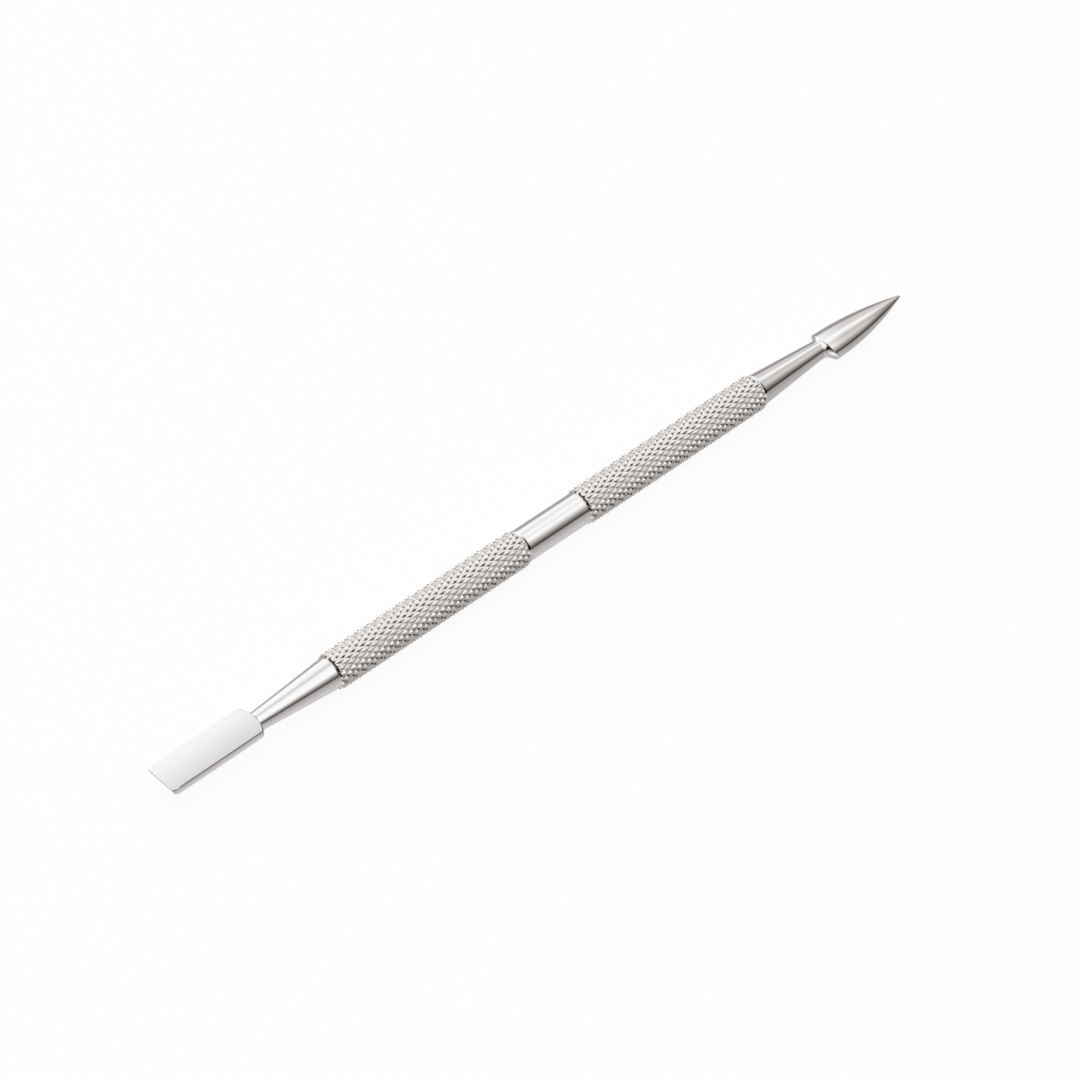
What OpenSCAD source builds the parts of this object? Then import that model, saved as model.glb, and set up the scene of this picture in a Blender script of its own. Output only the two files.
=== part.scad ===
// Double-ended cuticle pusher: a flat pusher blade, a knurled handle and a pointed spear.
// X runs along the tool from the blade to the spear, and Z points up from the surface it lies on.
// The origin is on that surface, under the middle of the tool.

/* [Handle] */
// Length of each knurled grip
grip_len = 32; // [20:0.1:45]
// Diameter over the peaks of the knurl
grip_d = 5.26; // [4.8:0.02:8]
// Depth of the knurl's grooves below its peaks
knurl_depth = 0.24; // [0.1:0.02:0.4]
// How much lower the peaks are at the two ends of a grip
end_chamfer = 0.06; // [0.02:0.02:0.2]
// Grooves that wind round a grip in each direction
knurl_starts = 20; // [12:1:28]
// Spacing of the knurl's peaks along a grip
knurl_pitch = 1.56; // [1:0.02:3]
// Angle by which each row of the knurl is turned against the row before it
row_turn = 0.67; // [0:0.01:2]
// Length of the smooth band between the grips
band_len = 10.6; // [4:0.1:30]
// Diameter of the smooth band
band_d = 4.58; // [4.2:0.02:7.5]
// Diameter of the rod that runs through the handle
rod_d = 3; // [2.4:0.1:3.6]

/* [Shanks] */
// Length of the shank that carries the blade
pusher_shank_len = 12.3; // [8:0.1:25]
// Diameter of that shank at the blade
pusher_shank_tip_d = 2.62; // [2.2:0.02:4]
// Length of the shank that carries the spear
spear_shank_len = 11.8; // [8:0.1:25]
// Diameter of that shank at the spear
spear_shank_tip_d = 2.74; // [2.2:0.02:4]
// Diameter of both shanks at the handle
shank_base_d = 4.46; // [4.1:0.02:4.64]
// Diameter of the stud that holds a shank in the rod
stud_d = 1.6; // [1:0.1:2]
// Length of that stud
stud_len = 6; // [3:0.5:12]

/* [Blade] */
// Length of the blade
blade_len = 14.9; // [8:0.1:25]
// Width of the blade's front edge
blade_front_w = 4.7; // [3:0.02:8]
// Width of the blade at its shoulders
blade_back_w = 4.8; // [3.5:0.02:8]
// Height of the flat above the tool's axis at the front edge
flat_front_h = 1; // [0.6:0.05:1.2]
// Height of the flat above the tool's axis at the shoulders
flat_back_h = 1.18; // [0.8:0.02:1.3]
// Thickness of the blade
blade_t = 1.4; // [0.8:0.05:1.8]
// How far the blade's sides bulge beyond its flat
side_bulge = 0.15; // [0.05:0.05:0.4]
// Thickness left at the front edge
edge_t = 0.2; // [0.1:0.05:0.5]
// Length over which the underside thins towards the front edge
bevel_len = 2; // [0.8:0.1:5]
// Radius of the two front corners
front_corner_r = 0.35; // [0.1:0.05:1]
// Radius of the two shoulder corners
shoulder_r = 0.5; // [0.2:0.05:1]
// How far the blade's back edge bulges towards the shank
back_bulge = 0.25; // [0.05:0.05:0.6]
// Radius along the top and the bottom of the blade's back edge
back_edge_r = 0.5; // [0.1:0.05:0.7]
// Length of the heel that runs from the shank out under the blade
heel_len = 4.5; // [2:0.1:7]

/* [Spear] */
// Length of the spear from the end of its shank to the point
spear_len = 15.9; // [10:0.1:25]
// Width of the spear at its shoulder
spear_w = 5; // [3.8:0.02:6]
// Thickness of the spear at its shoulder
spear_t = 3.7; // [3:0.05:4.4]
// How far the middle of the shoulder lies below the tool's axis
spear_drop = 0.4; // [0:0.05:0.6]
// Width of the spear's blunted point
point_w = 0.4; // [0.1:0.05:0.8]
// Length of the fillet between the shank and the shoulder
fillet_len = 1.1; // [0.4:0.1:2]
// How far the shoulder's lower edge leads its upper edge, for each unit of height
shoulder_lean = 0.36; // [0:0.05:0.4]

/* [Fits] */
// Diameter of the tang that holds the blade or the spear in its shank
tang_d = 1.2; // [0.8:0.1:1.6]
// Length of that tang
tang_len = 4; // [2:0.5:7]
// Gap all round a stud, a tang or the rod in its hole
fit_gap = 0.02; // [0.01:0.01:0.06]
// Room left at the bottom of a blind hole
hole_room = 0.3; // [0.1:0.1:1]

/* [Hidden] */
$fn = 96;
// Overlap of solids that are joined into one piece, and of cutters past the face they start from
joint_lap = 0.5;

steel = [0.80, 0.80, 0.81];
knurled_steel = [0.70, 0.69, 0.68];
inner_steel = [0.60, 0.60, 0.62];

// Places along the tool, from the blade's front edge to the spear's point
total_len = blade_len + pusher_shank_len + 2 * grip_len + band_len + spear_shank_len + spear_len;
blade_x = -total_len / 2;
pusher_shank_x = blade_x + blade_len;
pusher_grip_x = pusher_shank_x + pusher_shank_len;
band_x = pusher_grip_x + grip_len;
spear_grip_x = band_x + band_len;
spear_shank_x = spear_grip_x + grip_len;
spear_x = spear_shank_x + spear_shank_len;
rod_len = 2 * grip_len + band_len;

// The knurl's lattice: a peak stands on every second crossing of its columns and rows
knurl_cols = 2 * knurl_starts;
knurl_rows = max(4, round(2 * grip_len / knurl_pitch));
knurl_peak_r = grip_d / 2;
knurl_root_r = knurl_peak_r - knurl_depth;

// The tool lies on the peaks at the middle of each grip
axis_h = knurl_peak_r;

// How far the blade's plan stands off its bulging sides
side_room = 0.05;

// Points per arc of an outline, and sides and rings of the spear
arc_steps = 8;
spear_sides = 48;
fillet_rings = 8;
nose_rings = 20;

// Points on an arc, in order
function arc_points(centre, r, from, to) =
    [for (k = [0 : arc_steps]) centre + r * [cos(from + (to - from) * k / arc_steps),
                                             sin(from + (to - from) * k / arc_steps)]];

// Stands a piece that is modelled along Z on the tool's axis, with its start at x
module on_axis(x) {
    translate([x, 0, axis_h])
        rotate([0, 90, 0])
            children();
}

// A hole along the axis for a stud, tang or rod of diameter d that goes in to a depth
module socket(d, depth) {
    translate([0, 0, -joint_lap])
        cylinder(d = d + 2 * fit_gap, h = depth + hole_room + joint_lap);
}

module core_rod() {
    color(inner_steel)
        on_axis(pusher_grip_x)
            difference() {
                cylinder(d = rod_d, h = rod_len);
                socket(stud_d, stud_len);
                translate([0, 0, rod_len])
                    mirror([0, 0, 1])
                        socket(stud_d, stud_len);
            }
}

// One crossing of the knurl's lattice, either a peak or the floor of two grooves
function knurl_point(col, row) =
    let (on_peak = (col + row) % 2 == 1,
         on_end = row == 0 || row == knurl_rows,
         peak_r = on_end ? knurl_peak_r - end_chamfer : knurl_peak_r,
         r = on_peak ? peak_r : knurl_root_r,
         angle = 360 * col / knurl_cols + row_turn * (row - knurl_rows / 2))
    [r * cos(angle), r * sin(angle), grip_len * row / knurl_rows];

function knurl_index(col, row) = row * knurl_cols + col % knurl_cols;

// Two triangles for one cell of the lattice, split along the groove that crosses it
function knurl_cell(col, row) =
    let (a = knurl_index(col, row), b = knurl_index(col + 1, row),
         c = knurl_index(col + 1, row + 1), d = knurl_index(col, row + 1))
    (col + row) % 2 == 0 ? [[a, c, b], [a, d, c]] : [[a, d, b], [b, d, c]];

module knurled_bar() {
    points = [for (row = [0 : knurl_rows], col = [0 : knurl_cols - 1]) knurl_point(col, row)];
    side = [for (row = [0 : knurl_rows - 1], col = [0 : knurl_cols - 1]) each knurl_cell(col, row)];
    start = [for (col = [0 : knurl_cols - 1]) knurl_index(col, 0)];
    end = [for (col = [knurl_cols - 1 : -1 : 0]) knurl_index(col, knurl_rows)];
    polyhedron(points, concat([start, end], side));
}

module grip(x) {
    color(knurled_steel)
        on_axis(x)
            difference() {
                knurled_bar();
                translate([0, 0, -joint_lap])
                    cylinder(d = rod_d + 2 * fit_gap, h = grip_len + 2 * joint_lap);
            }
}

module pusher_grip() {
    grip(pusher_grip_x);
}

module spear_grip() {
    grip(spear_grip_x);
}

module centre_band() {
    color(steel)
        on_axis(band_x)
            difference() {
                cylinder(d = band_d, h = band_len);
                translate([0, 0, -joint_lap])
                    cylinder(d = rod_d + 2 * fit_gap, h = band_len + 2 * joint_lap);
            }
}

// A tapered shank from its tip, which takes a tang, to its base, which has the stud
module shank(tip_d, len) {
    difference() {
        union() {
            cylinder(d1 = tip_d, d2 = shank_base_d, h = len);
            translate([0, 0, len - joint_lap])
                cylinder(d = stud_d, h = stud_len + joint_lap);
        }
        socket(tang_d, tang_len);
    }
}

module pusher_shank() {
    color(steel)
        on_axis(pusher_shank_x)
            shank(pusher_shank_tip_d, pusher_shank_len);
}

module spear_shank() {
    color(steel)
        on_axis(spear_shank_x + spear_shank_len)
            mirror([0, 0, 1])
                shank(spear_shank_tip_d, spear_shank_len);
}

// The blade seen from above: x from the front edge, with rounded corners and a bulging back edge
module blade_plan() {
    grow = side_bulge + side_room;
    half_front = blade_front_w / 2 + grow;
    half_back = blade_back_w / 2 + grow;
    front_r = front_corner_r + grow;
    corner_r = shoulder_r + grow;
    corner_x = blade_len - back_bulge - corner_r;
    chord = half_back - corner_r;
    bulge_r = (chord * chord + back_bulge * back_bulge) / (2 * back_bulge);
    bulge_angle = asin(chord / bulge_r);
    polygon(concat(
        arc_points([front_r, half_front - front_r], front_r, 180, 90),
        arc_points([corner_x, half_back - corner_r], corner_r, 90, 0),
        arc_points([blade_len - bulge_r, 0], bulge_r, bulge_angle, -bulge_angle),
        arc_points([corner_x, corner_r - half_back], corner_r, 0, -90),
        arc_points([front_r, front_r - half_front], front_r, -90, -180)));
}

// The back edge's radius, where the blade is thick enough for it
back_r = min(back_edge_r, 0.4 * blade_t);

// The blade's top seen from its side: the flat, and then the rounded back edge
function blade_top() = concat(
    [[0, flat_front_h]],
    arc_points([blade_len - back_r, flat_back_h - back_r], back_r, 90, 0));

// The blade seen from its side, with an underside that thins to the front edge
module blade_side() {
    thin = blade_t - edge_t;
    polygon(concat(
        blade_top(),
        arc_points([blade_len - back_r, flat_back_h - blade_t + back_r], back_r, 0, -90),
        [for (k = [arc_steps : -1 : 0])
            let (angle = 90 * k / arc_steps)
            [bevel_len * (1 - cos(angle)), flat_front_h - edge_t - thin * sin(angle)]]));
}

// The bar that the blade is cut from, seen from the front: its sides are arcs that pass through the
// edges of the flat and go on a little above and below the blade
module bar_slice(flat_w, flat_h) {
    reach = 1.3;
    side_r = (blade_t * blade_t / 4 + side_bulge * side_bulge) / (2 * side_bulge);
    side_angle = reach * asin(blade_t / 2 / side_r);
    centre_y = flat_w / 2 + side_bulge - side_r;
    centre_z = flat_h - blade_t / 2;
    slice_t = 0.01;
    rotate([90, 0, 90])
        linear_extrude(slice_t)
            polygon(concat(
                arc_points([centre_y, centre_z], side_r, -side_angle, side_angle),
                arc_points([-centre_y, centre_z], side_r, 180 - side_angle, 180 + side_angle)));
}

module blade_bar() {
    hull() {
        bar_slice(blade_front_w, flat_front_h);
        translate([blade_len, 0, 0])
            bar_slice(blade_back_w, flat_back_h);
    }
}

// Everything under the blade's top, over the blade's length
module below_top() {
    reach = blade_back_w + pusher_shank_tip_d;
    translate([0, reach, 0])
        rotate([90, 0, 0])
            linear_extrude(2 * reach)
                polygon(concat(blade_top(), [[blade_len, -reach], [0, -reach]]));
}

// The heel is a round bar that slants from the shank's end up into the underside of the blade
module heel() {
    rise = pusher_shank_tip_d / 2 + flat_back_h - blade_t;
    slant = atan(rise / heel_len);
    intersection() {
        translate([blade_len, 0, 0])
            rotate([0, slant - 90, 0])
                translate([0, 0, -pusher_shank_tip_d])
                    cylinder(d = pusher_shank_tip_d * cos(slant),
                             h = pusher_shank_tip_d + heel_len / cos(slant) + joint_lap);
        below_top();
    }
}

module pusher_blade() {
    reach = blade_back_w + blade_t;
    color(steel)
        translate([blade_x, 0, axis_h])
            union() {
                intersection() {
                    translate([0, 0, -reach])
                        linear_extrude(2 * reach)
                            blade_plan();
                    translate([0, reach, 0])
                        rotate([90, 0, 0])
                            linear_extrude(2 * reach)
                                blade_side();
                    blade_bar();
                }
                heel();
                translate([blade_len - joint_lap, 0, 0])
                    rotate([0, 90, 0])
                        cylinder(d = tang_d, h = tang_len + joint_lap);
            }
}

// The spear's cross-section at its shoulder
function spear_section(angle) = [spear_w / 2 * cos(angle), spear_t / 2 * sin(angle) - spear_drop];

// Points round one ring: a share of the shank's circle and of the shoulder's section
function spear_ring(x, circle_share, section_share, lean) =
    [for (k = [0 : spear_sides - 1])
        let (angle = 360 * k / spear_sides,
             round_part = circle_share * spear_shank_tip_d / 2 * [cos(angle), sin(angle)],
             p = round_part + section_share * spear_section(angle))
        [x - lean * p[1], p[0], p[1]]];

// The fillet swells from the shank to the shoulder as a quarter of an ellipse
function fillet_ring(share) =
    let (swell = 1 - sqrt(1 - share * share))
    spear_ring(fillet_len * share, 1 - swell, swell, shoulder_lean * share);

// The nose narrows from the shoulder to the blunted point along an arc of a circle
nose_len = spear_len - fillet_len - point_w / 2;
nose_drop = (spear_w - point_w) / 2;
nose_arc_r = (nose_len * nose_len + nose_drop * nose_drop) / (2 * nose_drop);
function nose_half_width(x) = sqrt(nose_arc_r * nose_arc_r - x * x) - nose_arc_r + spear_w / 2;
function nose_ring(share) =
    let (x = nose_len * share)
    spear_ring(fillet_len + x, 0, nose_half_width(x) / (spear_w / 2), shoulder_lean * (1 - share));

module spear_body() {
    rings = concat([for (k = [0 : fillet_rings]) fillet_ring(k / fillet_rings)],
                   [for (k = [1 : nose_rings]) nose_ring(k / nose_rings)]);
    last = len(rings) - 1;
    point_index = (last + 1) * spear_sides;
    points = concat([for (ring = rings) each ring], [[spear_len, 0, 0]]);
    back = [for (k = [0 : spear_sides - 1]) k];
    side = [for (r = [0 : last - 1], k = [0 : spear_sides - 1])
        let (a = r * spear_sides + k, b = r * spear_sides + (k + 1) % spear_sides)
        each [[a, a + spear_sides, b], [b, a + spear_sides, b + spear_sides]]];
    nose = [for (k = [0 : spear_sides - 1])
        [last * spear_sides + k, point_index, last * spear_sides + (k + 1) % spear_sides]];
    polyhedron(points, concat([back], side, nose));
}

module spear_tip() {
    color(steel)
        translate([spear_x, 0, axis_h])
            union() {
                spear_body();
                translate([-tang_len, 0, 0])
                    rotate([0, 90, 0])
                        cylinder(d = tang_d, h = tang_len + joint_lap);
            }
}

core_rod();
pusher_grip();
centre_band();
spear_grip();
pusher_shank();
pusher_blade();
spear_shank();
spear_tip();
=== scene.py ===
"""A double-ended cuticle pusher in polished steel, dressed around its CAD frame.

X runs along the tool from the blade to the spear, Z points up, and every length is in metres.
"""
import math

import bpy
from mathutils import Matrix, Vector


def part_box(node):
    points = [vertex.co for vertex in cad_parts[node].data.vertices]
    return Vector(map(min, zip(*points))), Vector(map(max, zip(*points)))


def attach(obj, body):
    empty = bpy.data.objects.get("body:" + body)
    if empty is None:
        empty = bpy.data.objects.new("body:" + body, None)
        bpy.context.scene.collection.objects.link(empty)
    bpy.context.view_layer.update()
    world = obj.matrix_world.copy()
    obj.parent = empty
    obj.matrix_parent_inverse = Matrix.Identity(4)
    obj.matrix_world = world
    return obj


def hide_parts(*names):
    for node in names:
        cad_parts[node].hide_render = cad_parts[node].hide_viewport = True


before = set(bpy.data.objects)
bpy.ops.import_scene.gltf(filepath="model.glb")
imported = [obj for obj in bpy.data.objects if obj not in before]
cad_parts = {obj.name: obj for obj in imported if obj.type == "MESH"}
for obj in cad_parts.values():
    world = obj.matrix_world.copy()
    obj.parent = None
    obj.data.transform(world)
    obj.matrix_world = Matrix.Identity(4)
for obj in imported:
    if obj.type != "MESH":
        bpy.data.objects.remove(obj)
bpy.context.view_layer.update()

MM = 0.001

# Places along the tool and sizes that the frame gives
GRIP_LOW, GRIP_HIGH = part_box("pusher_grip")
BAND_LOW, BAND_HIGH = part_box("centre_band")
BLADE_FRONT_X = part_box("pusher_blade")[0].x
PUSHER_SHANK_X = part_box("pusher_shank")[0].x
SPEAR_GRIP_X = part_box("spear_grip")[0].x
SPEAR_SHANK_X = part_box("spear_grip")[1].x
SPEAR_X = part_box("spear_shank")[1].x
SPEAR_POINT_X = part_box("spear_tip")[1].x
AXIS_H = (GRIP_LOW.z + GRIP_HIGH.z) / 2
GRIP_LEN = GRIP_HIGH.x - GRIP_LOW.x
BLADE_LEN = PUSHER_SHANK_X - BLADE_FRONT_X
BAND_R = (BAND_HIGH.z - BAND_LOW.z) / 2
SHANK_BASE_R = (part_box("pusher_shank")[1].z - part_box("pusher_shank")[0].z) / 2

# Hidden fits: the rod in the handle, the studs in the rod and the tangs in the shanks
FIT_GAP = 0.02 * MM
BORE_R = 1.5 * MM + FIT_GAP
STUD_R = 0.8 * MM
STUD_LEN = 6.0 * MM
TANG_R = 0.6 * MM
TANG_LEN = 4.0 * MM
HOLE_ROOM = 0.3 * MM

# Knurl: a lattice of columns and rows, with a peak on every second crossing
KNURL_COLS = 40
KNURL_ROWS = 41
KNURL_STEPS = 4
KNURL_START = math.radians(-90)
KNURL_ROW_TURN = math.radians(0.67)
KNURL_DEPTH = 0.24 * MM
KNURL_ROUND = 0.45
KNURL_SEAT_R = 2.2 * MM
KNURL_PEAK_R = (GRIP_HIGH.z - GRIP_LOW.z) / 2

# Band and shanks, chamfered where they meet the grips, more gently on the side towards the blade
PUSHER_SHANK_TIP_R = 1.31 * MM
SPEAR_SHANK_TIP_R = 1.37 * MM
TIP_CHAMFER = 0.04 * MM
SEAT_DROP = 0.18 * MM
FRONT_SEAT_RUN = 0.3 * MM
BACK_SEAT_RUN = 0.18 * MM
LATHE_SIDES = 160

# Blade
BLADE_FRONT_HALF = 2.35 * MM
BLADE_BACK_HALF = 2.4 * MM
FLAT_FRONT_H = 1.0 * MM
FLAT_BACK_H = 1.18 * MM
BLADE_T = 1.4 * MM
SIDE_BULGE = 0.22 * MM
SIDE_GROW = 0.2 * MM
EDGE_T = 0.2 * MM
BEVEL_LEN = 2.0 * MM
FRONT_CORNER_R = 0.1 * MM
SHOULDER_R = 0.5 * MM
BACK_BULGE = 0.25 * MM
BACK_SLOPE = 0.65
BACK_SLOPE_LEN = 0.3 * MM
BACK_SLOPE_START = 0.8
BACK_SLOPE_LEAST = 0.15
HEEL_LEN = 4.5 * MM
BLADE_EDGE_R = 0.06 * MM
BLADE_EDGE_SHARE = 0.45
BLADE_CROWN = 0.08 * MM

# Steps of the blade's mesh: across it, over its edges and sides, and along it
FLAT_STEPS = 40
LOWER_EDGE_STEPS = 6
SIDE_STEPS = 10
UPPER_EDGE_STEPS = 8
BEVEL_STEPS = 28
MIDDLE_STEPS = 24
BACK_STEPS = 60

# Spear; each ring of its point has a share of the point's length and of its width
SPEAR_HALF_W = 2.5 * MM
SPEAR_HALF_T = 1.85 * MM
SPEAR_DROP = 0.4 * MM
POINT_HALF_W = 0.2 * MM
POINT_RINGS = ((0.45, 0.8), (0.8, 0.5), (0.96, 0.2))
FILLET_LEN = 1.1 * MM
FILLET_ANGLE = math.radians(72)
FILLET_STEPS = 24
SHOULDER_LEAN = 0.36
RIM_CHAMFER = 0.17 * MM
NOSE_STEPS = 72
SPEAR_SIDES = 160

# Steel: each scale and grain is in cells of noise per metre, and each height is the depth of a bump
CLOUD_SCALE = 260.0
CLOUD_DARKER = 0.03
CLOUD_LIGHTER = 0.02
CLOUD_COOL = 0.004
LINE_DETAIL = 3.0
LINE_ROUGHNESS = 0.6
LINE_SPAN = (0.3, 0.7)
LINE_BUMP = 0.05
LINE_HEIGHT = 0.01 * MM
ROUND_GRAIN = (5000.0, 300.0, 300.0)
LONG_GRAIN = (300.0, 5000.0, 5000.0)
# The grooves' colour is darker with painted shade in the knurl's recesses as well as grime
GROOVE_SHADE_AND_GRIME_COLOUR = (0.895, 0.88, 0.865, 1.0)
CREST_COLOUR = (0.97, 0.965, 0.955, 1.0)
GRIME_AND_SHADE_SCALE = 900.0
GRIME_AND_SHADE_DETAIL = 4.0
GRIME_AND_SHADE_SHARE = 0.5
WEAR_AND_SHADE_SPAN = (0.15, 0.9)
GROOVE_ROUGHNESS = 0.1
CREST_ROUGHNESS = 0.05
GRIT_SCALE = 4000.0
GRIT_BUMP = 0.06
GRIT_HEIGHT = 0.02 * MM

# Angles from which an edge between two faces is shaded as sharp, in degrees
PLAIN_SHARP = 35
BLADE_SHARP = 25
LATHE_SHARP = 20
KNURL_SHARP = 18

# Floor: its colours, and how strongly it glows in the metal by the side that it is mirrored from
FLOOR_HALF = 4.0
FLOOR_SEEN = 0.93
FLOOR_GLOW = (1.0, 0.975, 0.96, 1.0)
GROUND = (0.365, 0.355, 0.35, 1.0)
# Nearly black floor colour where it is seen from the +X side, a painted dark reflection in the metal
DARK_GROUND = (0.03, 0.03, 0.03, 1.0)
DARK_GROUND_SPAN = (0.6, 0.8)
SPEAR_GLOW_SPAN = (-0.65, -0.45)
SPEAR_GLOW = (0.36, 0.57)
MIDDLE_GLOW_SPAN = (-0.2, 0.0)
MIDDLE_GLOW = (0.57, 0.36)
BLADE_GLOW = 0.7
BLADE_GLOW_RISE = (0.2, 0.45)
BLADE_GLOW_FALL = (0.6, 0.85)

# Studio: each span is a range of a light direction's share along the tool, across it or upwards,
# and each lean is an angle from straight up towards the camera's side
NEAR_REACH_SPAN = (0.2, -0.05)
NEAR_REACH = (0.62, 0.8)
BAND_REACH = 0.14
BAND_REACH_MIDDLE = 0.46
BAND_REACH_WIDTH = 0.15
NEAR_FALL = 1.8
NEAR_LEAST = 0.05
FAR_LOW = -0.05
FAR_HIGH_SPAN = (0.27, 0.45)
FAR_HIGH = (0.25, 0.45)
FAR_LEAST_SPAN = (0.4, 0.5)
FAR_LEAST = (0.5, 0.25)
FAR_SPAN = (-0.25, 0.1)
GAP_SPAN = (0.27, 0.476)
GAP_LEAN = (math.radians(-11), math.radians(-33))
GAP_WIDTH = math.radians(14)
GAP_DEPTH_SPAN = (0.4, 0.55)
GAP_DEPTH = (0.3, 0.0)
SEAM_SPAN = (0.3, 0.45)
SEAM_DEPTH = (0.0, 0.12)
SEAM_LEAN = math.radians(8)
SEAM_WIDTH = math.radians(9)
DIM_SPAN = (0.51, 0.62)
DIM_DEPTH = (0.0, 0.33)
STRIP_LEAN = math.radians(-19)
STRIP_WIDTH = math.radians(12)
END_SPAN = (0.68, 0.82)
CORNER_LEAN = (math.radians(-50), math.radians(20))
CORNER_DEPTH = (0.0, 0.3)
DARK_SIDE_SPAN = (-0.58, -0.42)
DARK_SIDE_TURN = 0.25
DARK_SIDE_UP_SPAN = (0.35, 0.6)
DARK_SIDE_LEVEL = (0.03, 0.22)
BEYOND_SPAN = (0.84, 0.92)
BEYOND_UP_SPAN = (0.4, 0.15)
BEYOND_DEPTH = (0.0, 0.85)
DARK_TINT = (1.0, 0.9, 0.85, 1.0)

# Lamp
LAMP_SIZE = 0.7
LAMP_POWER = 2.7
LAMP_PLACE = (-0.1, 0.15, 0.9)

# The photograph's camera
CAMERA_AZIMUTH = math.radians(-42.67)
CAMERA_ELEVATION = math.radians(46.0)
CAMERA_DISTANCE = 546.86 * MM
CAMERA_TARGET = Vector((-2.67, -0.85, 2.693)) * MM
CAMERA_FOCAL_PIXELS = 4250
PHOTO_PIXELS = 1080
SENSOR_WIDTH = 36


class Graph:
    """A node tree that is written from left to right."""

    def __init__(self, tree):
        self.tree = tree
        tree.nodes.clear()

    def node(self, kind, **settings):
        made = self.tree.nodes.new(kind)
        for name, value in settings.items():
            setattr(made, name, value)
        return made

    def feed(self, socket, value):
        if isinstance(value, bpy.types.NodeSocket):
            self.tree.links.new(value, socket)
        else:
            socket.default_value = value

    def math(self, operation, *values):
        made = self.node("ShaderNodeMath", operation=operation)
        for socket, value in zip(made.inputs, values):
            self.feed(socket, value)
        return made.outputs[0]

    def add(self, first, second):
        return self.math("ADD", first, second)

    def times(self, first, second):
        return self.math("MULTIPLY", first, second)

    def rest(self, share):
        """What a share leaves of one."""
        return self.math("SUBTRACT", 1.0, share)

    def ramp(self, value, low, high, out_low=0.0, out_high=1.0, smooth=True):
        kind = "SMOOTHSTEP" if smooth else "LINEAR"
        made = self.node("ShaderNodeMapRange", interpolation_type=kind)
        for socket, number in zip(made.inputs, (value, low, high, out_low, out_high)):
            self.feed(socket, number)
        return made.outputs[0]

    def bell(self, value, centre, width):
        off = self.math("DIVIDE", self.math("SUBTRACT", value, centre), width)
        return self.math("EXPONENT", self.times(self.times(off, off), -1.0))

    def noise(self, vector, scale, detail=2.0, roughness=0.5):
        made = self.node("ShaderNodeTexNoise")
        self.feed(made.inputs["Vector"], vector)
        made.inputs["Scale"].default_value = scale
        made.inputs["Detail"].default_value = detail
        made.inputs["Roughness"].default_value = roughness
        return made.outputs[0]

    def stretched(self, vector, scale):
        made = self.node("ShaderNodeMapping")
        self.feed(made.inputs["Vector"], vector)
        made.inputs["Scale"].default_value = scale
        return made.outputs[0]

    def parts(self, vector):
        """The X, Y and Z of a vector."""
        made = self.node("ShaderNodeSeparateXYZ")
        self.feed(made.inputs[0], vector)
        return made.outputs

    def mix_colour(self, share, first, second):
        """A mix of two colours, whose sockets come after those for numbers and vectors."""
        made = self.node("ShaderNodeMix", data_type="RGBA")
        self.feed(made.inputs[0], share)
        self.feed(made.inputs[6], first)
        self.feed(made.inputs[7], second)
        return made.outputs[2]

    def mix_shader(self, share, first, second):
        made = self.node("ShaderNodeMixShader")
        for socket, value in zip(made.inputs, (share, first.outputs[0], second.outputs[0])):
            self.feed(socket, value)
        return made

    def bump(self, height, strength, distance):
        made = self.node("ShaderNodeBump")
        made.inputs["Strength"].default_value = strength
        made.inputs["Distance"].default_value = distance
        self.feed(made.inputs["Height"], height)
        return made.outputs[0]

    def output(self, kind, shader):
        """The tree's output node, fed by its last shader."""
        self.feed(self.node(kind).inputs["Surface"], shader.outputs[0])


def grey(level, warm=0.0):
    return (level + warm, level, level - warm, 1.0)


def new_material(name):
    material = bpy.data.materials.new(name)
    material.use_nodes = True
    return material, Graph(material.node_tree)


def new_metal(name):
    """A metal with its graph, its shader and the object's own coordinates."""
    material, graph = new_material(name)
    shader = graph.node("ShaderNodeBsdfPrincipled")
    graph.output("ShaderNodeOutputMaterial", shader)
    shader.inputs["Metallic"].default_value = 1.0
    place = graph.node("ShaderNodeTexCoord").outputs["Object"]
    return material, graph, shader, place


def polished_steel(name, level, grain, rough_low, rough_high):
    """Bright steel with faint polishing lines; grain stretches them along or round the tool."""
    material, graph, shader, place = new_metal(name)
    clouds = graph.noise(place, CLOUD_SCALE)
    lines = graph.noise(graph.stretched(place, grain), 1.0, LINE_DETAIL, LINE_ROUGHNESS)
    colour = graph.mix_colour(clouds, grey(level - CLOUD_DARKER, -CLOUD_COOL),
                              grey(level + CLOUD_LIGHTER))
    graph.feed(shader.inputs["Base Color"], colour)
    graph.feed(shader.inputs["Roughness"], graph.ramp(lines, *LINE_SPAN, rough_low, rough_high))
    graph.feed(shader.inputs["Normal"], graph.bump(lines, LINE_BUMP, LINE_HEIGHT))
    return material


def knurled_steel():
    """Steel whose grooves are duller than the crests of its knurl, and darker with painted shade and
    grime.
    """
    material, graph, shader, place = new_metal("knurled_steel")
    _, across, above_floor = graph.parts(place)
    above = graph.math("SUBTRACT", above_floor, AXIS_H)
    square = graph.add(graph.times(across, across), graph.times(above, above))
    radius = graph.math("SQRT", square)
    height = graph.ramp(radius, KNURL_PEAK_R - KNURL_DEPTH, KNURL_PEAK_R)
    # Painted shade and grime: the colour darkens from the crests into the groove floors, with noise
    # along the edge
    grime_and_shade_noise = graph.noise(place, GRIME_AND_SHADE_SCALE, GRIME_AND_SHADE_DETAIL)
    wear_and_shade = graph.ramp(graph.add(height, graph.times(grime_and_shade_noise, GRIME_AND_SHADE_SHARE)), *WEAR_AND_SHADE_SPAN)
    graph.feed(shader.inputs["Base Color"], graph.mix_colour(wear_and_shade, GROOVE_SHADE_AND_GRIME_COLOUR, CREST_COLOUR))
    roughness = graph.ramp(wear_and_shade, 0.0, 1.0, GROOVE_ROUGHNESS, CREST_ROUGHNESS)
    graph.feed(shader.inputs["Roughness"], roughness)
    grit = graph.noise(place, GRIT_SCALE)
    graph.feed(shader.inputs["Normal"], graph.bump(grit, GRIT_BUMP, GRIT_HEIGHT))
    return material


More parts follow.
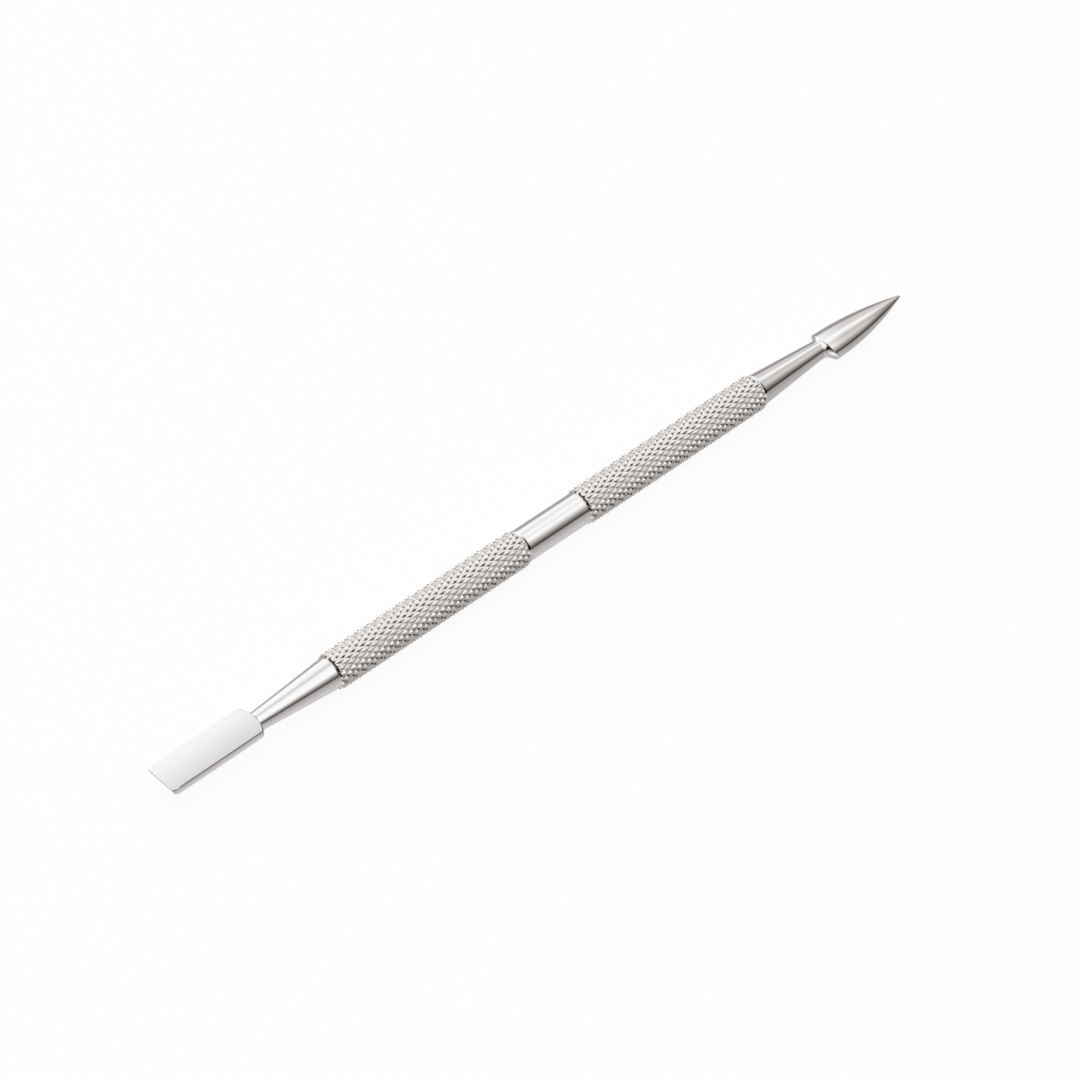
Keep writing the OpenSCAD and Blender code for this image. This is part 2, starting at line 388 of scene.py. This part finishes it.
ROUND_STEEL = polished_steel("round_steel", level=0.96, grain=ROUND_GRAIN,
                             rough_low=0.05, rough_high=0.09)
BLADE_STEEL = polished_steel("blade_steel", level=0.96, grain=LONG_GRAIN,
                             rough_low=0.07, rough_high=0.12)
INNER_STEEL = polished_steel("inner_steel", level=0.6, grain=ROUND_GRAIN,
                             rough_low=0.3, rough_high=0.45)
KNURLED_STEEL = knurled_steel()


def piece(node, points, faces, material, sharp=PLAIN_SHARP):
    """A smooth mesh that stands for a CAD node and rides on the tool."""
    mesh = bpy.data.meshes.new(node + "_surface")
    mesh.from_pydata(points, [], faces)
    mesh.validate()
    mesh.materials.append(material)
    for polygon in mesh.polygons:
        polygon.use_smooth = True
    mesh.set_sharp_from_angle(angle=math.radians(sharp))
    made = bpy.data.objects.new(node + "_surface", mesh)
    bpy.context.scene.collection.objects.link(made)
    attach(made, "root")
    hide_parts(node)


def cells(ring_count, count, rows):
    """Row, column and corners of each cell between a ring and the next; the last meets the first."""
    for r in range(rows):
        after = (r + 1) % ring_count
        for k in range(count):
            near = (k + 1) % count
            yield r, k, (r * count + k, r * count + near, after * count + near, after * count + k)


def loft(rings):
    """Points and faces of a closed skin over rings of equal count, with a fan over each end."""
    count = len(rings[0])
    points = [p for ring in rings for p in ring]
    faces = [corners for _, _, corners in cells(len(rings), count, len(rings) - 1)]
    for ring, first, turn in ((rings[0], 0, -1), (rings[-1], (len(rings) - 1) * count, 1)):
        middle = len(points)
        points.append(sum(ring, Vector()) / count)
        for k in range(count):
            faces.append((first + k, first + (k + 1) % count, middle)[::turn])
    return points, faces


def tube(rings):
    """Points and faces of a skin over rings that run along the outside and back through the bore."""
    points = [p for ring in rings for p in ring]
    faces = [corners for _, _, corners in cells(len(rings), len(rings[0]), len(rings))]
    return points, faces


def round_point(x, radius, angle):
    """A point round the tool's axis, with its angle from +Y towards +Z."""
    return Vector((x, radius * math.cos(angle), AXIS_H + radius * math.sin(angle)))


def circle_ring(x, radius, sides, start=0.0):
    return [round_point(x, radius, start + 2 * math.pi * k / sides) for k in range(sides)]


def lathe_rings(profile):
    return [circle_ring(x, radius, LATHE_SIDES) for x, radius in profile]


def centre_band():
    """The smooth sleeve between the two grips."""
    low, high = BAND_LOW.x, BAND_HIGH.x
    edge_r = BAND_R - SEAT_DROP
    profile = [(low, BORE_R), (low, edge_r), (low + FRONT_SEAT_RUN, BAND_R)]
    profile += [(high - BACK_SEAT_RUN, BAND_R), (high, edge_r), (high, BORE_R)]
    points, faces = tube(lathe_rings(profile))
    piece("centre_band", points, faces, ROUND_STEEL, LATHE_SHARP)


def shank(node, tip_x, base_x, tip_r):
    """A tapered shank with the socket for a tang in its tip and the stud on its base."""
    way = 1 if base_x > tip_x else -1
    socket_r = TANG_R + FIT_GAP
    socket_x = tip_x + way * (TANG_LEN + HOLE_ROOM)
    stud_x = base_x + way * STUD_LEN
    seat_x = base_x - BACK_SEAT_RUN if way > 0 else base_x + FRONT_SEAT_RUN
    profile = [(socket_x, socket_r), (tip_x, socket_r)]
    profile += [(tip_x, tip_r - TIP_CHAMFER), (tip_x + way * TIP_CHAMFER, tip_r)]
    profile += [(seat_x, SHANK_BASE_R), (base_x, SHANK_BASE_R - SEAT_DROP)]
    profile += [(base_x, STUD_R), (stud_x, STUD_R)]
    points, faces = loft(lathe_rings(profile[::way]))
    piece(node, points, faces, ROUND_STEEL, LATHE_SHARP)


def knurl_height(u, v):
    """Share of the knurl's depth at a place on its lattice; its grooves have rounded floors."""
    first = abs((u + v + 1) % 2 - 1)
    second = abs((u - v + 1) % 2 - 1)
    rise = math.hypot(min(first, second), KNURL_ROUND) - KNURL_ROUND
    return rise / (math.hypot(1.0, KNURL_ROUND) - KNURL_ROUND)


def knurl_ring(x0, row):
    x = x0 + GRIP_LEN * row / KNURL_ROWS
    root_r = KNURL_PEAK_R - KNURL_DEPTH
    turn = KNURL_START + KNURL_ROW_TURN * (row - KNURL_ROWS / 2)
    ring = []
    for k in range(KNURL_COLS * KNURL_STEPS):
        column = k / KNURL_STEPS
        radius = root_r + KNURL_DEPTH * knurl_height(column, row)
        ring.append(round_point(x, radius, turn + 2 * math.pi * column / KNURL_COLS))
    return ring


def grip(node, x0):
    """A knurled sleeve with conical ends; each cell is split along the groove that crosses it."""
    round_count = KNURL_COLS * KNURL_STEPS
    long_count = KNURL_ROWS * KNURL_STEPS
    end_x = x0 + GRIP_LEN
    end_turn = KNURL_ROW_TURN * KNURL_ROWS / 2
    rings = [circle_ring(x0, KNURL_SEAT_R, round_count, KNURL_START - end_turn)]
    rings += [knurl_ring(x0, r / KNURL_STEPS) for r in range(1, long_count)]
    rings.append(circle_ring(end_x, KNURL_SEAT_R, round_count, KNURL_START + end_turn))
    rings += [circle_ring(x, BORE_R, round_count, KNURL_START) for x in (end_x, x0)]
    points = [p for ring in rings for p in ring]
    faces = []
    for r, k, (a, b, c, d) in cells(len(rings), round_count, len(rings)):
        if r == 0 or r >= long_count - 1:
            faces.append((a, b, c, d))
        elif (k // KNURL_STEPS + r // KNURL_STEPS) % 2 == 0:
            faces += [(a, b, c), (a, c, d)]
        else:
            faces += [(a, b, d), (b, c, d)]
    piece(node, points, faces, KNURLED_STEEL, KNURL_SHARP)


def flat_height(x):
    """Height of the blade's flat above the axis, x from the front edge."""
    return FLAT_FRONT_H + (FLAT_BACK_H - FLAT_FRONT_H) * x / BLADE_LEN


def under_height(x):
    """Height of the blade's underside, which rises to the front edge along a quarter of an ellipse."""
    if x >= BEVEL_LEN:
        return flat_height(x) - BLADE_T
    swell = math.sqrt(max(0.0, 1 - (1 - x / BEVEL_LEN) ** 2))
    return flat_height(x) - EDGE_T - (BLADE_T - EDGE_T) * swell


# The rounded shoulders and the bulging back edge of the blade's plan
CORNER_R = SHOULDER_R + SIDE_GROW
CORNER_X = BLADE_LEN - BACK_BULGE - CORNER_R
BULGE_HALF = BLADE_BACK_HALF - SHOULDER_R
BULGE_R = (BULGE_HALF ** 2 + BACK_BULGE ** 2) / (2 * BACK_BULGE)


def plan_half_width(x):
    """Half the blade's width in plan at a place along it."""
    front_r = FRONT_CORNER_R + SIDE_GROW
    if x < front_r:
        return BLADE_FRONT_HALF - FRONT_CORNER_R + math.sqrt(front_r ** 2 - (front_r - x) ** 2)
    if x > BLADE_LEN - BACK_BULGE:
        return math.sqrt(max(0.0, BULGE_R ** 2 - (x - BLADE_LEN + BULGE_R) ** 2))
    if x > CORNER_X:
        return BULGE_HALF + math.sqrt(max(0.0, CORNER_R ** 2 - (x - CORNER_X) ** 2))
    return BLADE_BACK_HALF + SIDE_GROW


def back_edge_x(y):
    """Place of the blade's back edge at a distance from its middle."""
    if abs(y) <= BULGE_HALF:
        return BLADE_LEN - BULGE_R + math.sqrt(BULGE_R ** 2 - y ** 2)
    past = min(abs(y) - BULGE_HALF, CORNER_R)
    return CORNER_X + math.sqrt(CORNER_R ** 2 - past ** 2)


def back_slope(x, y):
    """How far the top and underside draw in at the back edge, which slopes more at the corners."""
    share = abs(y) / PUSHER_SHANK_TIP_R - BACK_SLOPE_START
    reach = BACK_SLOPE_LEN * min(max(share, BACK_SLOPE_LEAST), 1.0)
    inside = max(back_edge_x(y) - x, 0.0)
    return BACK_SLOPE * max(reach - inside, 0.0)


# The round heel slants down from the shank and comes out under the blade
HEEL_RISE = PUSHER_SHANK_TIP_R + FLAT_BACK_H - BLADE_T
HEEL_SLANT = math.atan(HEEL_RISE / HEEL_LEN)


def heel_bottom(x, y):
    """Height of the lower side of the slanted round heel, where it lies under the blade."""
    middle = (BLADE_LEN - x) * math.tan(HEEL_SLANT)
    radius = PUSHER_SHANK_TIP_R * math.cos(HEEL_SLANT)
    return middle - math.sqrt(max(0.0, radius ** 2 - y ** 2)) / math.cos(HEEL_SLANT)


def arc(centre_y, centre_z, radius, start, end, steps):
    return [(centre_y + radius * math.cos(start + (end - start) * k / steps),
             centre_z + radius * math.sin(start + (end - start) * k / steps))
            for k in range(steps + 1)]


def blade_half(x):
    """Half the width of the blade's flat."""
    return BLADE_FRONT_HALF + (BLADE_BACK_HALF - BLADE_FRONT_HALF) * x / BLADE_LEN


def half_section(x):
    """Half of the blade's section before its plan narrows it, from under its middle to its flat."""
    side_r = (BLADE_T ** 2 / 4 + SIDE_BULGE ** 2) / (2 * SIDE_BULGE)
    centre_y = blade_half(x) + SIDE_BULGE - side_r
    centre_z = flat_height(x) - BLADE_T / 2
    top, under = flat_height(x), under_height(x)
    edge_r = min(BLADE_EDGE_R, BLADE_EDGE_SHARE * (top - under))

    def edge_centre(z):
        y = centre_y + math.sqrt((side_r - edge_r) ** 2 - (z - centre_z) ** 2)
        return y, z, math.atan2(z - centre_z, y - centre_y)

    low_y, low_z, low_angle = edge_centre(under + edge_r)
    high_y, high_z, high_angle = edge_centre(top - edge_r)
    section = [(low_y * k / FLAT_STEPS, under) for k in range(FLAT_STEPS)]
    section += arc(low_y, low_z, edge_r, -math.pi / 2, low_angle, LOWER_EDGE_STEPS)
    section += arc(centre_y, centre_z, side_r, low_angle, high_angle, SIDE_STEPS)[1:-1]
    section += arc(high_y, high_z, edge_r, high_angle, math.pi / 2, UPPER_EDGE_STEPS)
    section += [(high_y * (FLAT_STEPS - k) / FLAT_STEPS, top) for k in range(1, FLAT_STEPS + 1)]
    return section


def blade_ring(x):
    """One ring of the blade, from the middle of its underside round by +Y and back."""
    top, under = flat_height(x), under_height(x)
    section = half_section(x)
    limit = max(plan_half_width(x), PUSHER_SHANK_TIP_R)
    shrink = min(1.0, limit / max(y for y, z in section))
    placed = []
    for y, z in section:
        on_underside = z == under
        y = y * shrink
        drawn_in = back_slope(x, y)
        crown = BLADE_CROWN * (y / blade_half(x)) ** 2
        z = min(max(z, under + drawn_in), top - drawn_in - crown)
        if on_underside and y < PUSHER_SHANK_TIP_R:
            z = min(z, heel_bottom(x, y))
        placed.append((y, z))
    mirrored = [(-y, z) for y, z in placed[-2:0:-1]]
    return [Vector((BLADE_FRONT_X + x, y, AXIS_H + z)) for y, z in placed + mirrored]


def spaced(low, high, steps):
    """Places from low to high that crowd towards both ends."""
    return [low + (high - low) * (1 - math.cos(math.pi * k / steps)) / 2 for k in range(steps + 1)]


def blade():
    """The blade with its heel and, past its back edge, the tang that goes into the shank."""
    back_x = CORNER_X - BACK_SLOPE_LEN
    places = spaced(0.0, BEVEL_LEN, BEVEL_STEPS) + spaced(BEVEL_LEN, back_x, MIDDLE_STEPS)[1:]
    places += spaced(back_x, BLADE_LEN, BACK_STEPS)[1:]
    rings = [blade_ring(x) for x in places]
    angles = [math.atan2(p.z - AXIS_H, p.y) for p in rings[-1]]
    for x in (PUSHER_SHANK_X, PUSHER_SHANK_X + TANG_LEN):
        rings.append([round_point(x, TANG_R, angle) for angle in angles])
    points, faces = loft(rings)
    piece("pusher_blade", points, faces, BLADE_STEEL, BLADE_SHARP)


def spear_ring(x, circle_share, section_share, lean):
    """One ring of the spear, between the shank's circle and the shoulder's section."""
    ring = []
    for k in range(SPEAR_SIDES):
        angle = 2 * math.pi * k / SPEAR_SIDES
        round_r = circle_share * SPEAR_SHANK_TIP_R
        y = (round_r + section_share * SPEAR_HALF_W) * math.cos(angle)
        z = (round_r + section_share * SPEAR_HALF_T) * math.sin(angle) - section_share * SPEAR_DROP
        ring.append(Vector((SPEAR_X + x - lean * z, y, AXIS_H + z)))
    return ring


def spear():
    """The spear: a fillet that swells from the shank, a chamfered rim, and a nose along an arc."""
    rings = [circle_ring(x, TANG_R, SPEAR_SIDES) for x in (SPEAR_X - TANG_LEN, SPEAR_X)]
    rim_share = RIM_CHAMFER / SPEAR_HALF_W
    for k in range(FILLET_STEPS + 1):
        angle = FILLET_ANGLE * k / FILLET_STEPS
        swell = (1 - math.cos(angle)) / (1 - math.cos(FILLET_ANGLE))
        share = math.sin(angle) / math.sin(FILLET_ANGLE)
        rings.append(spear_ring(FILLET_LEN * share, 1 - swell, swell * (1 - rim_share),
                                SHOULDER_LEAN * share))
    rings.append(spear_ring(FILLET_LEN + RIM_CHAMFER, 0, 1, SHOULDER_LEAN))
    nose_len = SPEAR_POINT_X - SPEAR_X - FILLET_LEN - POINT_HALF_W
    nose_drop = SPEAR_HALF_W - POINT_HALF_W
    arc_r = (nose_len ** 2 + nose_drop ** 2) / (2 * nose_drop)
    for k in range(1, NOSE_STEPS + 1):
        x = RIM_CHAMFER + (nose_len - RIM_CHAMFER) * k / NOSE_STEPS
        half = math.sqrt(arc_r ** 2 - x ** 2) - arc_r + SPEAR_HALF_W
        rings.append(spear_ring(FILLET_LEN + x, 0, half / SPEAR_HALF_W,
                                SHOULDER_LEAN * (1 - x / nose_len)))
    for length_share, width_share in POINT_RINGS:
        rings.append(spear_ring(FILLET_LEN + nose_len + POINT_HALF_W * length_share, 0,
                                POINT_HALF_W / SPEAR_HALF_W * width_share, 0))
    points, faces = loft(rings)
    piece("spear_tip", points, faces, ROUND_STEEL)


def core_rod():
    """The hidden rod keeps its CAD shape and gets its material here."""
    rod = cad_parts["core_rod"]
    rod.data.materials.clear()
    rod.data.materials.append(INNER_STEEL)


def floor_material():
    """Matt and white to the camera; in the metal it also glows, by the side it is mirrored from."""
    material, graph = new_material("floor")
    rays = graph.node("ShaderNodeLightPath").outputs
    along, _, up = graph.parts(graph.node("ShaderNodeNewGeometry").outputs["Incoming"])
    matt = graph.node("ShaderNodeBsdfDiffuse")
    # Painted dark reflection: the floor's colour turns nearly black where it is seen from the +X side
    ground = graph.mix_colour(graph.ramp(along, *DARK_GROUND_SPAN), GROUND, DARK_GROUND)
    graph.feed(matt.inputs["Color"], graph.mix_colour(rays["Is Camera Ray"], ground, grey(1.0)))
    glow = graph.node("ShaderNodeEmission")
    glow_colour = graph.mix_colour(rays["Is Camera Ray"], FLOOR_GLOW, grey(1.0))
    graph.feed(glow.inputs["Color"], glow_colour)
    spear_side = graph.ramp(along, *SPEAR_GLOW_SPAN, *SPEAR_GLOW)
    middle = graph.ramp(along, *MIDDLE_GLOW_SPAN, *MIDDLE_GLOW)
    blade_side = graph.math("MINIMUM", graph.ramp(along, *BLADE_GLOW_RISE, 0.0, BLADE_GLOW),
                            graph.ramp(along, *BLADE_GLOW_FALL, BLADE_GLOW, 0.0))
    strength = graph.add(graph.math("MINIMUM", spear_side, middle), blade_side)
    mirrored = graph.add(rays["Is Glossy Ray"], rays["Is Transmission Ray"])
    shown = graph.times(mirrored, graph.times(up, strength))
    seen = graph.times(rays["Is Camera Ray"], FLOOR_SEEN)
    graph.output("ShaderNodeOutputMaterial", graph.mix_shader(graph.add(seen, shown), matt, glow))
    return material


def floor():
    """A plain pale floor that the camera sees as white, with the tool's soft shadow on it."""
    mesh = bpy.data.meshes.new("floor")
    corners = [(-FLOOR_HALF, -FLOOR_HALF, 0), (FLOOR_HALF, -FLOOR_HALF, 0),
               (FLOOR_HALF, FLOOR_HALF, 0), (-FLOOR_HALF, FLOOR_HALF, 0)]
    mesh.from_pydata(corners, [], [(0, 1, 2, 3)])
    mesh.materials.append(floor_material())
    made = bpy.data.objects.new("floor", mesh)
    bpy.context.scene.collection.objects.link(made)


def overhead_level(graph, along, across, up):
    """Light from above: the camera's side fades to dark at the horizon, and the far side less so."""
    band_reach = graph.times(graph.bell(along, BAND_REACH_MIDDLE, BAND_REACH_WIDTH), BAND_REACH)
    reach = graph.add(band_reach, graph.ramp(along, *NEAR_REACH_SPAN, *NEAR_REACH))
    height = graph.math("DIVIDE", graph.math("MAXIMUM", up, 0.0), reach)
    near = graph.math("MINIMUM", graph.math("POWER", height, NEAR_FALL), 1.0)
    near = graph.ramp(near, 0.0, 1.0, NEAR_LEAST, 1.0, smooth=False)
    far_high = graph.ramp(along, *FAR_HIGH_SPAN, *FAR_HIGH)
    far_least = graph.ramp(along, *FAR_LEAST_SPAN, *FAR_LEAST)
    far = graph.ramp(up, FAR_LOW, far_high, far_least, 1.0)
    return graph.ramp(graph.ramp(across, *FAR_SPAN), 0.0, 1.0, near, far, smooth=False)


def overhead_shade(graph, along, lean):
    """What is missing from the light above: a gap, a seam, and a dimmer side towards the spear."""
    gap_place = graph.ramp(along, *GAP_SPAN, *GAP_LEAN, smooth=False)
    gap = graph.times(graph.bell(lean, gap_place, GAP_WIDTH),
                      graph.ramp(along, *GAP_DEPTH_SPAN, *GAP_DEPTH))
    seam = graph.times(graph.bell(lean, SEAM_LEAN, SEAM_WIDTH),
                       graph.ramp(along, *SEAM_SPAN, *SEAM_DEPTH))
    end = graph.ramp(along, *END_SPAN)
    strip = graph.times(graph.bell(lean, STRIP_LEAN, STRIP_WIDTH), graph.rest(end))
    dim = graph.times(graph.ramp(along, *DIM_SPAN, *DIM_DEPTH), graph.rest(strip))
    corner = graph.times(end, graph.ramp(lean, *CORNER_LEAN, *CORNER_DEPTH))
    return graph.add(graph.add(gap, seam), graph.add(dim, corner))


def end_level(graph, along, across, up):
    """Share of the light that is left at the dark side past the blade and low down past the spear."""
    side = graph.add(along, graph.times(across, DARK_SIDE_TURN))
    dark = graph.ramp(up, *DARK_SIDE_UP_SPAN, *DARK_SIDE_LEVEL)
    blade_end = graph.ramp(side, *DARK_SIDE_SPAN, dark, 1.0)
    beyond = graph.times(graph.ramp(along, *BEYOND_SPAN),
                         graph.ramp(up, *BEYOND_UP_SPAN, *BEYOND_DEPTH))
    return graph.times(blade_end, graph.rest(beyond))


def studio():
    """The light that the metal mirrors, by its direction; the camera sees a white backdrop."""
    world = bpy.data.worlds.new("studio")
    bpy.context.scene.world = world
    world.use_nodes = True
    graph = Graph(world.node_tree)
    along, across, up = graph.parts(graph.node("ShaderNodeTexCoord").outputs["Generated"])
    lean = graph.math("ARCTAN2", graph.times(across, -1.0), up)
    level = graph.times(overhead_level(graph, along, across, up),
                        graph.rest(overhead_shade(graph, along, lean)))
    level = graph.times(level, end_level(graph, along, across, up))
    light = graph.node("ShaderNodeBackground")
    graph.feed(light.inputs["Strength"], level)
    graph.feed(light.inputs["Color"], graph.mix_colour(level, DARK_TINT, grey(1.0)))
    backdrop = graph.node("ShaderNodeBackground")
    backdrop.inputs["Color"].default_value = grey(1.0)
    camera_ray = graph.node("ShaderNodeLightPath").outputs["Is Camera Ray"]
    graph.output("ShaderNodeOutputWorld", graph.mix_shader(camera_ray, light, backdrop))


def soft_lamp():
    """A wide lamp overhead that gives the floor its soft shadow; the world shows in the metal."""
    lamp = bpy.data.lights.new("soft_lamp", "AREA")
    lamp.size = LAMP_SIZE
    lamp.energy = LAMP_POWER
    made = bpy.data.objects.new("soft_lamp", lamp)
    made.location = LAMP_PLACE
    made.rotation_euler = (-Vector(LAMP_PLACE)).to_track_quat("-Z", "Y").to_euler()
    made.visible_glossy = False
    bpy.context.scene.collection.objects.link(made)


def camera():
    """The view that was fitted to the photograph."""
    data = bpy.data.cameras.new("camera")
    data.sensor_width = SENSOR_WIDTH
    data.lens = SENSOR_WIDTH * CAMERA_FOCAL_PIXELS / PHOTO_PIXELS
    made = bpy.data.objects.new("camera", data)
    right = Vector((math.cos(CAMERA_AZIMUTH), math.sin(CAMERA_AZIMUTH), 0))
    back = Vector((math.sin(CAMERA_AZIMUTH) * math.cos(CAMERA_ELEVATION),
                   -math.cos(CAMERA_AZIMUTH) * math.cos(CAMERA_ELEVATION),
                   math.sin(CAMERA_ELEVATION)))
    turn = Matrix((right, back.cross(right), back)).transposed()
    made.matrix_world = Matrix.Translation(CAMERA_TARGET + CAMERA_DISTANCE * back) @ turn.to_4x4()
    bpy.context.scene.collection.objects.link(made)
    bpy.context.scene.camera = made


core_rod()
centre_band()
grip("pusher_grip", GRIP_LOW.x)
grip("spear_grip", SPEAR_GRIP_X)
shank("pusher_shank", PUSHER_SHANK_X, GRIP_LOW.x, PUSHER_SHANK_TIP_R)
shank("spear_shank", SPEAR_X, SPEAR_SHANK_X, SPEAR_SHANK_TIP_R)
blade()
spear()
floor()
studio()
soft_lamp()
camera()
bpy.context.scene.view_settings.view_transform = "Standard"
